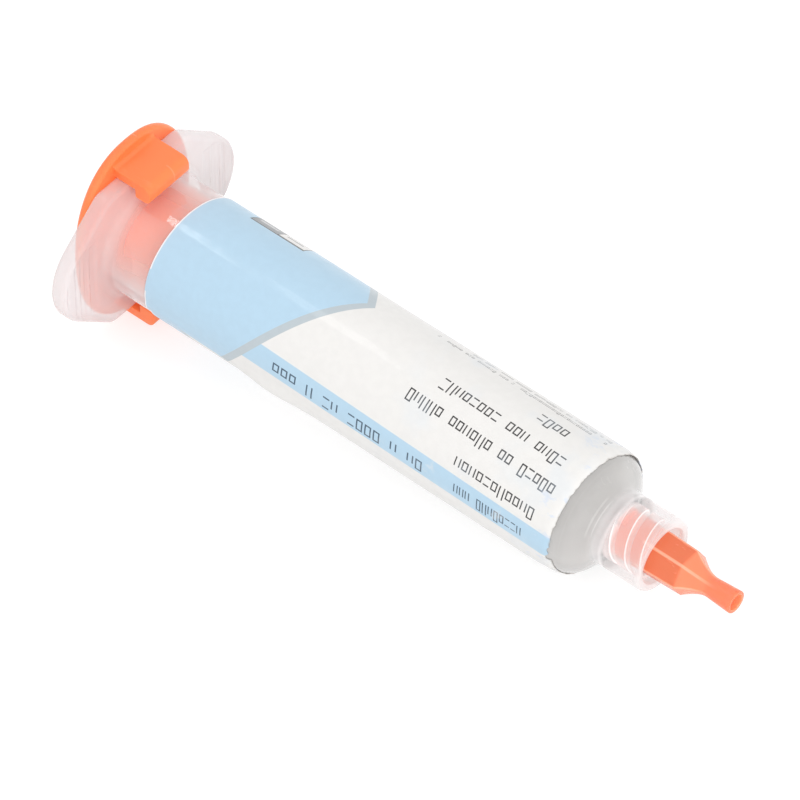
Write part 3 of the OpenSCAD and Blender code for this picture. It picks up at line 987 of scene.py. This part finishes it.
@dataclass
class Label:
    """One turn of printed film, a little askew, whose free end laps over its start."""

    UV_NAME = "unrolled"
    UV_S = 100.0
    UV_Q = 70.0
    UV_Q0 = 44.0
    UV_R = 9.07
    datum: Datum
    rear: float = 9.93
    front: float = 77.85
    sway: float = 0.55
    inner: float = 8.93
    bend_s: float = 76.4
    bend_r: float = 4.0
    film: float = 0.1
    covered_end: float = -260.0
    free_end: float = 103.8
    free_slope: float = 0.265
    rows: int = 150
    columns: int = 200

    def flat(self, u: float, v: float) -> tuple[float, float]:
        """Place on the barrel of a place on the film, before any unevenness.

        Args:
            u: Share of the length from the flange's side to the nose's.
            v: Share of the width from the covered end to the free end.

        Returns:
            Station, and turn in degrees.
        """
        free = self.free_end + self.free_slope * (self.rear + (self.front - self.rear) * u)
        degrees = self.covered_end + (free - self.covered_end) * v
        shift = -self.sway * math.sin(math.radians(0.75 * degrees))
        return self.rear + shift + (self.front - self.rear) * u, degrees

    def rolled(self, s: float, degrees: float) -> Triple:
        """Where a place on the film lies once it is wrapped, worn and partly lifted."""
        turn = math.radians(degrees)
        edge = self.front - self.sway * math.sin(0.75 * turn) - s
        front = smooth(3.2, 0.2, edge)
        ragged = noise.noise(Vector((degrees * 0.16, 3.1, 0))) * 0.16
        ragged += noise.noise(Vector((degrees * 0.5, 7.7, 0))) * 0.1
        chip = 0.45 * smooth(6.0, 1.5, abs(degrees - 98))
        chip += 0.3 * smooth(4.0, 1.0, abs(degrees - 88))
        wall = self.inner - 0.03
        if s > self.bend_s:
            wall -= self.bend_r - math.sqrt(self.bend_r**2 - (s - self.bend_s) ** 2)
        r = self.inner + self.film / 2
        # The free end steps up over the film's start, and stands off in one place.
        r += 0.11 * smooth(96, 102, degrees)
        r += 0.45 * smooth(99, 110, degrees) * math.exp(-(((s - 30.5) / 4.6) ** 2))
        wave = noise.noise(Vector((s * 0.09, math.sin(turn) * 1.7, math.cos(turn) * 1.7)))
        r += 0.03 * (wave + 0.5) + 0.01 * noise.noise(Vector((s * 0.5, turn * 4, 5.0)))
        curl = noise.noise(Vector((0.3, math.sin(turn) * 2.2, math.cos(turn) * 2.2)))
        r += smooth(3.0, 0.0, edge) * (0.1 * curl - 0.25)
        return s + front * (ragged - chip), max(r, wall + self.film), turn

    def build(self) -> Object:
        """The film, for the CAD node label."""
        Bench.clear()
        bpy.ops.mesh.primitive_grid_add(
            x_subdivisions=self.rows, y_subdivisions=self.columns, size=1
        )
        piece = bpy.context.object
        mesh = piece.data
        flat = [self.flat(vertex.co.x + 0.5, vertex.co.y + 0.5) for vertex in mesh.vertices]
        while mesh.uv_layers:
            mesh.uv_layers.remove(mesh.uv_layers[0])
        layer = mesh.uv_layers.new(name=self.UV_NAME)
        for loop in mesh.loops:
            s, degrees = flat[loop.vertex_index]
            q = math.radians(degrees) * self.UV_R
            layer.data[loop.index].uv = (s / self.UV_S, (q + self.UV_Q0) / self.UV_Q)
        for vertex, (s, degrees) in zip(mesh.vertices, flat):
            vertex.co = self.datum.polar(*self.rolled(s, degrees))
        mesh.update()
        middle = mesh.polygons[len(mesh.polygons) // 2]
        _, _, turn = self.datum.read_polar(middle.center)
        outward = Vector((0, -math.sin(turn), math.cos(turn)))
        if middle.normal.dot(outward) < 0:
            Bench.hold(piece)
            bpy.ops.object.mode_set(mode="EDIT")
            bpy.ops.mesh.select_all(action="SELECT")
            bpy.ops.mesh.flip_normals()
            Bench.clear()
        Bench.apply(piece, "SOLIDIFY", thickness=self.film * MM, offset=0.0, use_even_offset=True)
        return Bench.done(piece, "printed_label", 40)


@dataclass
class Paste:
    """The filling: it follows the piston at its back and fills the shoulder and the outlet."""

    datum: Datum
    radius: float = 7.87
    back: float = 19.45
    body: float = 7.35
    nose: float = 2.0
    held_s: float = 76.3
    shoulder: Point = (76.4, 4.9)
    shoulder_r: float = 2.97
    root: Point = (81.008, 3.476)
    throat_s: float = 81.438
    throat: float = 1.07
    end: float = 90.24

    def tip(self) -> float:
        """Station of the flat in the middle of the back, which the piston's nose fills."""
        return self.back + (self.body - self.nose) / math.tan(CONE)

    def build(self) -> Object:
        """The filling, for the CAD node solder_paste."""
        tip = self.tip()
        profile = [(tip, 0.0), (tip, self.nose), (self.back, self.body)]
        profile += [(self.back, self.radius - 0.1), (self.back + 0.1, self.radius)]
        profile += arc(*self.shoulder, self.shoulder_r, 0, math.degrees(CONE), 10)
        profile += [self.root, (self.throat_s, self.throat), (85.0, self.throat)]
        profile += [(90.2, self.throat), (self.end, 1.0), (self.end, 0.0)]
        piece = Bench.turn(self.datum, profile, 128)
        return Bench.done(piece, "paste_filling", 30)

    def seat(self, piece: Object) -> None:
        """Bakes the filling's place into its mesh."""
        self.datum.spot(self.tip() + 0.05, 0, 0)
        self.datum.spot(self.held_s, 0, 0)
        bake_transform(piece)


@dataclass
class Piston:
    """The hollow wiper piston with a lip at each end."""

    datum: Datum
    back: float = 10.4
    front: float = 19.4
    lip: float = 7.85
    body: float = 7.35
    wall: float = 1.2
    nose: float = 2.0
    dip: float = 0.06
    waist: tuple[Point, ...] = ((12.7, 7.4), (12.9, 7.35), (16.9, 7.35), (17.15, 7.4))

    def build(self) -> Object:
        """The piston, for the CAD node piston."""
        bowl = self.body - self.wall
        tip = self.front + (self.body - self.nose) / math.tan(CONE)
        slope = self.wall / math.sin(CONE)
        back, front, lip = self.back, self.front, self.lip
        # The section starts and ends on the axis: first the bowl, then the outside up to the tip.
        profile = [(tip - slope, 0.0), (tip - slope, self.nose)]
        profile += [(tip - slope - (bowl - self.nose) / math.tan(CONE), bowl)]
        profile += [(back + 0.1, bowl), (back, bowl + 0.1), (back, 7.5), (back + 0.12, 7.66)]
        profile += [(back + 0.5, lip), (back + 1.7, lip), (back + 1.9, lip - self.dip), *self.waist]
        profile += [(front - 1.9, lip - self.dip), (front - 1.7, lip), (front - 0.6, lip)]
        profile += [(front - 0.4, 7.78), (front, self.body), (tip - 0.12, self.nose + 0.17)]
        profile += [(tip, self.nose - 0.05), (tip, 0.0)]
        piece = Bench.turn(self.datum, profile, 128)
        return Bench.done(piece, "wiper_piston", 30)


@dataclass
class EndCap:
    """The orange oval plate with its plug and the two clips that hold it on the flange."""

    datum: Datum
    half_height: float = 15.2
    half_width: float = 10.7
    fullness: float = 2.3
    nominal: float = 17.0
    seat: float = 9.0
    back: float = -1.55
    front: float = -0.05
    back_edge: float = 0.8
    front_edge: float = 0.5
    plug: float = 7.65
    plug_in: float = 6.35
    plug_end: float = 9.9
    clip_in: float = 11.8
    clip_out: float = 13.2
    clip_half: float = 3.9
    clip_len: float = 6.1
    clip_nose: float = 1.2
    clip_root: float = 0.6
    hook_s: float = 3.6
    hook_in: float = 10.4
    hook_edge: float = 0.9
    # The sealing bead: distance past the plug's end, and radius.
    bead: tuple[Point, ...] = (
        (-1.95, 7.7), (-1.6, 7.84), (-1.2, 7.85), (-0.95, 7.8),
        (-0.5, 7.6), (-0.08, 7.46), (0.0, 7.35),
    )
    # A real mould line, painted lighter as a painted highlight on its raised edge.
    mould_line_and_highlight: Triple = (0.95, 0.4, 0.22)

    def oval(self, turn: float, inset: float) -> float:
        """Radius of the plate's outline, drawn in by the inset, in one direction from the top."""
        tall, wide = self.half_height - inset, self.half_width - inset
        x, y = abs(math.cos(turn)), abs(math.sin(turn))
        reach = (x**self.fullness + y**self.fullness) ** (-1 / self.fullness)
        return reach * math.hypot(tall * x, wide * y)

    def oval_turn(self, turn: float, inset: float) -> float:
        """Direction of the outline's point that belongs to an even step round the oval."""
        tall, wide = self.half_height - inset, self.half_width - inset
        return math.atan2(wide * math.sin(turn), tall * math.cos(turn))

    def profile(self) -> list[Point]:
        """The section of plate and plug, from the middle of the back to the middle of the front."""
        back, front, rim = self.back, self.front, self.nominal
        # The dimple in the middle of the back, the back and the rim.
        points = [(back + 0.22, 0.0), (back + 0.22, 0.9), (back + 0.05, 1.15), (back, 1.35)]
        points += [(back, 5.0), (back, self.seat)]
        points += spread((back, self.seat), (back, rim - self.back_edge), 6)
        points += arc(back + self.back_edge, rim - self.back_edge, self.back_edge, -90, 0, 9)[1:]
        points += arc(front - self.front_edge, rim - self.front_edge, self.front_edge, 0, 90, 7)
        points += spread(points[-1], (front, self.seat), 8)
        # The plug with its bead, and its hollow.
        points += [(front, self.plug + 0.25), (front + 0.07, self.plug + 0.07)]
        points += [(front + 0.25, self.plug)]
        points += [(self.plug_end + s, r) for s, r in ((-2.2, self.plug), *self.bead)]
        points += [(self.plug_end, 6.5), (self.plug_end - 0.1, self.plug_in)]
        points += [(0.2, self.plug_in), (front, 6.1), (front, 0.0)]
        return points

    def shape(self, s: float, r: float, turn: float) -> Triple:
        """Draws the plate's rows out to the oval, and leaves plug and middle round."""
        if r <= self.seat + 1e-3 or s > self.front + 1e-3:
            return s, r, turn
        edge = self.back_edge if s < self.back + self.back_edge else self.front_edge
        full = self.nominal - edge
        inset = self.nominal - r if r > full else edge
        share = 1.0 if r > full else (r - self.seat) / (full - self.seat)
        way, far = self.oval_turn(turn, inset), self.oval(turn, inset)
        y = share * far * math.sin(way) + (1 - share) * self.seat * math.sin(turn)
        z = share * far * math.cos(way) + (1 - share) * self.seat * math.cos(turn)
        return s, math.hypot(y, z), math.atan2(y, z)

    def clip(self, up: int) -> Object:
        """One clip: an arm over the flange's flat, with a hook in front of it.

        Args:
            up: 1 for the upper clip and -1 for the lower one.

        Returns:
            The clip's mesh, rounded along both sides.
        """
        brow, root = self.clip_out + self.clip_root, self.clip_root
        nose, edge = self.clip_nose, self.hook_edge
        hook_s, hook_in = self.hook_s, self.hook_in
        section = [(hook_s, hook_in + 0.25), (hook_s, self.clip_in)]
        section += [(-0.8, self.clip_in), (-0.8, brow)]
        section += arc(self.front + root, brow, root, -90, -180, 8)
        section += [(s, self.clip_out) for s in (1.5, 2.5, 3.5)]
        section += arc(self.clip_len - nose, self.clip_out - nose, nose, 0, 90, 10)
        section += arc(self.clip_len - edge, hook_in + edge, edge, 90, 180, 8)
        section += [(hook_s + 0.25, hook_in), (hook_s + 0.07, hook_in + 0.07), section[0]]
        piece = Bench.trace([self.datum.spot(s, -self.clip_half, up * z) for s, z in section])
        near = 0.005 * MM
        bpy.ops.mesh.remove_doubles(threshold=near)
        bpy.ops.mesh.edge_face_add()
        across = (0, 2 * self.clip_half * MM, 0)
        bpy.ops.mesh.extrude_region_move(TRANSFORM_OT_translate={"value": across})
        bpy.ops.mesh.select_all(action="SELECT")
        bpy.ops.mesh.normals_make_consistent(inside=False)
        Bench.pick_edges(piece, lambda a, b: abs(a.y - b.y) < near)
        bpy.ops.mesh.bevel(offset=0.5 * MM, segments=5, offset_type="OFFSET", clamp_overlap=True)
        Bench.clear()
        return piece

    def polish(self, sheet: Sheet, colour: Socket) -> Socket:
        """A thin mould line across the plate's rim and the clips' noses, painted lighter as a
        painted highlight on its raised edge.
        """
        s, radius, turn = self.datum.axes(sheet)
        beside = sheet.times(radius, sheet.math("SINE", turn))
        line = sheet.rise(sheet.off(beside, -1.0), 0.14, 0.05)
        ends = sheet.most(sheet.rise(s, -0.2, -0.5), sheet.rise(s, 4.5, 5.0))
        share = sheet.times(line, ends, sheet.rise(radius, 10.0, 10.4), 0.4)
        return sheet.mix(share, colour, self.mould_line_and_highlight)

    def build(self) -> Object:
        """The end cap, for the CAD node end_cap."""
        piece = Bench.turn(self.datum, self.profile(), 180)
        Bench.reshape(self.datum, piece, self.shape)
        for up in (1, -1):
            clip = self.clip(up)
            Bench.apply(piece, "BOOLEAN", operation="UNION", solver="EXACT", object=clip)
            bpy.data.objects.remove(clip)
        return Bench.done(piece, "orange_end_cap", 35)


@dataclass
class TipCap:
    """The orange cap on the nose: hub with lugs, hexagonal grip, concave neck and tube."""

    datum: Datum
    steps: int = 192
    grip: float = 3.45
    grip_s: float = 86.99
    grip_end: float = 93.14
    neck_end: float = 96.84
    tube: float = 1.41
    mouth: float = 1.62
    mouth_s: float = 100.738
    hole: float = 1.13
    hub: float = 3.2
    hub_s: float = 82.44
    ridge: float = 0.3
    socket_end: float = 90.94
    hole_end: float = 95.74
    lug_r: float = 3.88
    lug_half: float = 1.6
    lug_reach: float = 3.9
    mean_share: float = 0.955
    grip_colour: Triple = (0.71, 0.17, 0.07)
    tube_colour: Triple = (0.82, 0.18, 0.08)
    # Colours of the painted ridge highlights and of the painted light in the mouth.
    painted_ridge_highlight: Triple = (0.96, 0.5, 0.34)
    painted_mouth_light: Triple = (0.97, 0.45, 0.24)

    def hexagon(self, turn: float, corner: float) -> float:
        """Radius of the grip's rounded hexagon, whose corners point sideways.

        Args:
            turn: Direction from the top, in radians.
            corner: Distance from the axis to the corners before they are rounded.

        Returns:
            The distance from the axis to its side in that direction.
        """
        third = math.pi / 3
        beta = abs((turn + third / 2) % third - third / 2)
        apothem = corner * math.cos(third / 2)
        inner = apothem - self.ridge
        if apothem * math.tan(beta) <= inner * math.tan(third / 2):
            return apothem / math.cos(beta)
        reach = inner / math.cos(third / 2)
        delta = third / 2 - beta
        return reach * math.cos(delta) + math.sqrt(self.ridge**2 - (reach * math.sin(delta)) ** 2)

    def profile(self) -> list[Point]:
        """The section from the socket's end, round the hub, grip and tube, into the tube's hole."""
        # The socket for the male cone, and the hub.
        points = [(self.socket_end, 0.0), (self.socket_end, 1.9), (90.85, 1.985)]
        points += [(82.6, 2.24), (82.5, 2.3), (self.hub_s, 2.42), (self.hub_s, 3.05), (82.52, 3.16)]
        points += [(s, self.hub) for s in (82.62, 82.9, 83.3, 83.42, 83.52, 84.5, 85.9)]
        points += spread((self.grip_s - 0.1, self.grip), (self.grip_end, self.grip), 9)
        points += spread((self.grip_end, self.grip), (self.neck_end, self.grip), 20)
        # The tube, its mouth and its hole.
        points += [(97.0, self.tube), (98.5, 1.5), (100.0, 1.58)]
        points += [(100.6, self.mouth - 0.01), (100.7, self.mouth - 0.05)]
        points += [(self.mouth_s, self.mouth - 0.13), (self.mouth_s, self.hole + 0.1)]
        points += [(100.69, self.hole + 0.03), (100.58, self.hole), (98.0, self.hole - 0.02)]
        points += [(95.9, self.hole - 0.05), (self.hole_end, self.hole - 0.2), (self.hole_end, 0.0)]
        return points

    def shape(self, s: float, r: float, turn: float) -> Triple:
        """Turns the round rows of the grip and neck into fading hexagons, and adds the lugs."""
        if abs(r - self.grip) < 1e-3:
            corner = self.grip * (1.0 - 0.045 * smooth(self.grip_s, self.grip_end + 2, s))
            side = self.hexagon(turn, corner)
            share = min(1.0, max(0.0, (s - self.grip_end) / (self.neck_end - self.grip_end)))
            if share == 0:
                return s, side, turn
            middle = corner * self.mean_share
            mean = self.tube + (middle - self.tube) * (1 - share) ** 1.55
            return s, mean * (1 + (side / middle - 1) * (1 - share) ** 0.55), turn
        if abs(r - self.hub) < 0.05 and self.hub_s + 0.1 < s < 83.45:
            if abs(math.sin(turn)) * self.lug_reach < self.lug_half:
                return s, self.lug_r, turn
        return s, r, turn

    def polish(self, sheet: Sheet, colour: Socket) -> Socket:
        """Painted highlights along the ridges, and painted light inside the mouth, where light
        comes through.
        """
        s, radius, turn = self.datum.axes(sheet)
        third = math.pi / 3
        off = sheet.off(sheet.math("FRACT", sheet.over(turn, third)), 0.5)
        # Painted highlights along the grip's corners and the neck's ridges.
        ridge = sheet.times(
            sheet.rise(sheet.times(off, radius, third), 0.26, 0.12),
            sheet.rise(s, 98.5, 94.0), sheet.rise(s, self.grip_s - 0.3, self.grip_s), 0.75,
        )
        # Painted light inside the mouth.
        bore = sheet.rise(radius, self.hole + 0.14, self.hole + 0.04)
        for share, paint in (
            (sheet.rise(s, self.grip_end + 0.25, self.grip_end - 0.25, 0, 0.9), self.grip_colour),
            (sheet.rise(s, self.neck_end - 1.0, self.neck_end + 0.5, 0, 0.4), self.tube_colour),
            (ridge, self.painted_ridge_highlight),
            (sheet.times(bore, sheet.rise(s, 95.0, 97.0), 0.8), self.painted_mouth_light),
        ):
            colour = sheet.mix(share, colour, paint)
        return colour

    def build(self) -> Object:
        """The tip cap, for the CAD node tip_cap."""
        piece = Bench.turn(self.datum, self.profile(), self.steps)
        Bench.reshape(self.datum, piece, self.shape)
        return Bench.done(piece, "orange_tip_cap", 32)


@dataclass(frozen=True)
class PhotoCamera:
    """The camera at the photograph's place: far away, with a long lens."""

    azimuth: float = 40.711
    elevation: float = 48.462
    roll: float = -0.315
    distance: float = 1173.5
    lens: float = 404.88
    slide: tuple[float, float] = (33.696, -22.859)
    target_s: float = 0.9

    def place(self, datum: Datum) -> Object:
        """The scene's camera.

        Args:
            datum: Where the barrel lies.

        Returns:
            The camera.
        """
        a, e, t = (math.radians(x) for x in (self.azimuth, self.elevation, self.roll))
        right = Vector((math.cos(a), math.sin(a), 0))
        back = Vector((math.sin(a) * math.cos(e), -math.cos(a) * math.cos(e), math.sin(e)))
        up = back.cross(right)
        right, up = right * math.cos(t) + up * math.sin(t), up * math.cos(t) - right * math.sin(t)
        offset = right * self.slide[0] + up * self.slide[1] + back * self.distance
        camera = bpy.data.objects.new("photo_camera", bpy.data.cameras.new("photo_camera"))
        bpy.context.scene.collection.objects.link(camera)
        camera.data.lens = self.lens
        camera.data.sensor_width = 36
        camera.data.clip_start, camera.data.clip_end = 0.05, 20
        turn = Matrix((right, up, back)).transposed().to_4x4()
        place = datum.spot(self.target_s, 0, 0) + offset * MM
        camera.matrix_world = Matrix.Translation(place) @ turn
        bpy.context.scene.camera = camera
        return camera


@dataclass(frozen=True)
class Lamp:
    """A soft rectangular lamp that points at the syringe; only the windows show in its gloss."""

    name: str
    place: Triple
    size: tuple[float, float]
    power: float
    mirrored: bool = False

    def hang(self) -> Object:
        """The lamp in the scene."""
        data = bpy.data.lights.new(self.name, "AREA")
        data.shape = "RECTANGLE"
        data.size, data.size_y = self.size
        data.energy = self.power
        lamp = bpy.data.objects.new(self.name, data)
        bpy.context.scene.collection.objects.link(lamp)
        lamp.location = self.place
        lamp.visible_glossy = self.mirrored
        lamp.rotation_euler = (-Vector(self.place)).to_track_quat("-Z", "Y").to_euler()
        return lamp


@dataclass(frozen=True)
class Stage:
    """The white floor, the white surroundings and the lamps."""

    floor_size: float = 6.0
    floor_gap: float = 0.0001
    floor_glow: float = 0.72
    sky: float = 0.8
    lamps: tuple[Lamp, ...] = (
        Lamp("overhead_softbox", (0.1, -0.1, 1.0), (0.5, 0.5), 0.9),
        Lamp("nose_fill", (1.0, -0.35, 0.35), (0.6, 0.6), 4.8),
        Lamp("front_fill", (0.1, -1.0, 0.45), (0.6, 0.6), 1.1),
        Lamp("rear_fill", (-0.3, 0.9, 0.6), (0.8, 0.4), 0.8),
        Lamp("small_window", (-0.3145, -0.011, 0.556), (0.12, 0.017), 0.045, True),
        Lamp("long_window", (-0.278, -0.011, 0.56), (0.13, 0.026), 0.03, True),
    )

    @staticmethod
    def seen(sheet: Sheet) -> Socket:
        """1 for rays that show the background: from the camera, a reflection or through plastic."""
        path = sheet.node("LightPath").outputs
        kinds = ("Camera", "Glossy", "Transmission")
        return sheet.most(*(path[f"Is {kind} Ray"] for kind in kinds))

    def build(self, datum: Datum) -> None:
        """Lays the floor, lights the scene and whitens what is seen of them."""
        Bench.clear()
        bpy.ops.mesh.primitive_plane_add(size=self.floor_size)
        floor = bpy.context.object
        floor.name = "white_floor"
        rim, edge = datum.spot(-0.8, 0, -15.2), datum.spot(77.6, 0, -9.15)
        tilt = math.atan2(edge.z - rim.z, edge.x - rim.x)
        below = Vector((0, 0, self.floor_gap))
        laid = Matrix.Translation(rim - below) @ Matrix.Rotation(-tilt, 4, "Y")
        floor.data.transform(laid)
        floor.data.materials.append(self.floor_material())
        world = bpy.data.worlds.new("white_room")
        bpy.context.scene.world = world
        world.use_nodes = True
        sheet = Sheet(world.node_tree)
        background = world.node_tree.nodes["Background"]
        background.inputs[0].default_value = (1, 1, 1, 1)
        sheet.feed(background.inputs[1], sheet.rise(self.seen(sheet), 0, 1, self.sky, 1))
        for lamp in self.lamps:
            lamp.hang()

    def floor_material(self) -> Material:
        """White where it is seen, with the syringe's soft shadow on it."""
        material, sheet, shader = new_material("white_floor")
        material.node_tree.nodes.remove(shader)
        plain, half = (
            sheet.fill(sheet.node("BsdfDiffuse"), Color=(grey, grey, grey)) for grey in (0.8, 0.4)
        )
        glow = sheet.fill(sheet.node("Emission"), Strength=self.floor_glow)
        both, pick = sheet.node("AddShader"), sheet.node("MixShader")
        leave = material.node_tree.nodes["Material Output"]
        for socket, value in (
            (both.inputs[0], half), (both.inputs[1], glow),
            (pick.inputs[0], self.seen(sheet)), (pick.inputs[1], plain),
            (pick.inputs[2], both.outputs[0]), (leave.inputs[0], pick.outputs[0]),
        ):
            sheet.feed(socket, value)
        return material


def dress(piece: Object, material: Material, body: str, node: str) -> Object:
    """Gives a piece its finish, material slot and body, and hides the CAD node that it stands for.

    Args:
        piece: The finished piece.
        material: Its only material.
        body: The CAD body it rides on, or an empty string for a piece that rides on none.
        node: The CAD node it replaces.

    Returns:
        The piece.
    """
    piece.data.materials.clear()
    piece.data.materials.append(material)
    if body:
        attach(piece, body)
    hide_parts(node)
    LOG.info("%s: %d faces, for %s", piece.name, len(piece.data.polygons), node)
    return piece


def main() -> None:
    """Builds the camera, the pieces and the stage, in that order."""
    logging.basicConfig(level=logging.INFO, format="%(message)s")
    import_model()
    datum = Datum.read()
    PhotoCamera().place(datum)
    bpy.context.scene.view_settings.view_transform = "Standard"
    effects = Effects()
    orange = OpaquePlastic(
        "orange_plastic", (0.93, 0.235, 0.072), (0.95, 0.36, 0.18), 0.34,
        scatter=0.2, painted_glow_strength=0.15,
    )
    coral = OpaquePlastic(
        "orange_tip_plastic", (0.92, 0.27, 0.135), (0.95, 0.45, 0.3), 0.27,
        scatter=0.3, scuffs=0.08, painted_glow_strength=0.1,
    )
    white = OpaquePlastic("piston_plastic", (0.84, 0.84, 0.8), (0.7, 0.7, 0.66), 0.4)

    moulding, film, paste = Barrel(datum), Label(datum), Paste(datum)
    piston, cap, tip = Piston(datum), EndCap(datum), TipCap(datum)
    clear = ClearPlastic().make(effects, datum, moulding)
    dress(moulding.build(), clear, "barrel", "barrel")
    dress(film.build(), PrintedFilm().make(effects, film), "barrel", "label")
    grey = PasteFinish().make(effects)
    paste.seat(dress(paste.build(), grey, "", "solder_paste"))
    dress(piston.build(), white.make(effects), "piston", "piston")
    dress(cap.build(), orange.make(effects, cap.polish), "end_cap", "end_cap")
    dress(tip.build(), coral.make(effects, tip.polish), "tip_cap", "tip_cap")
    Stage().build(datum)


if __name__ == "__main__":
    main()
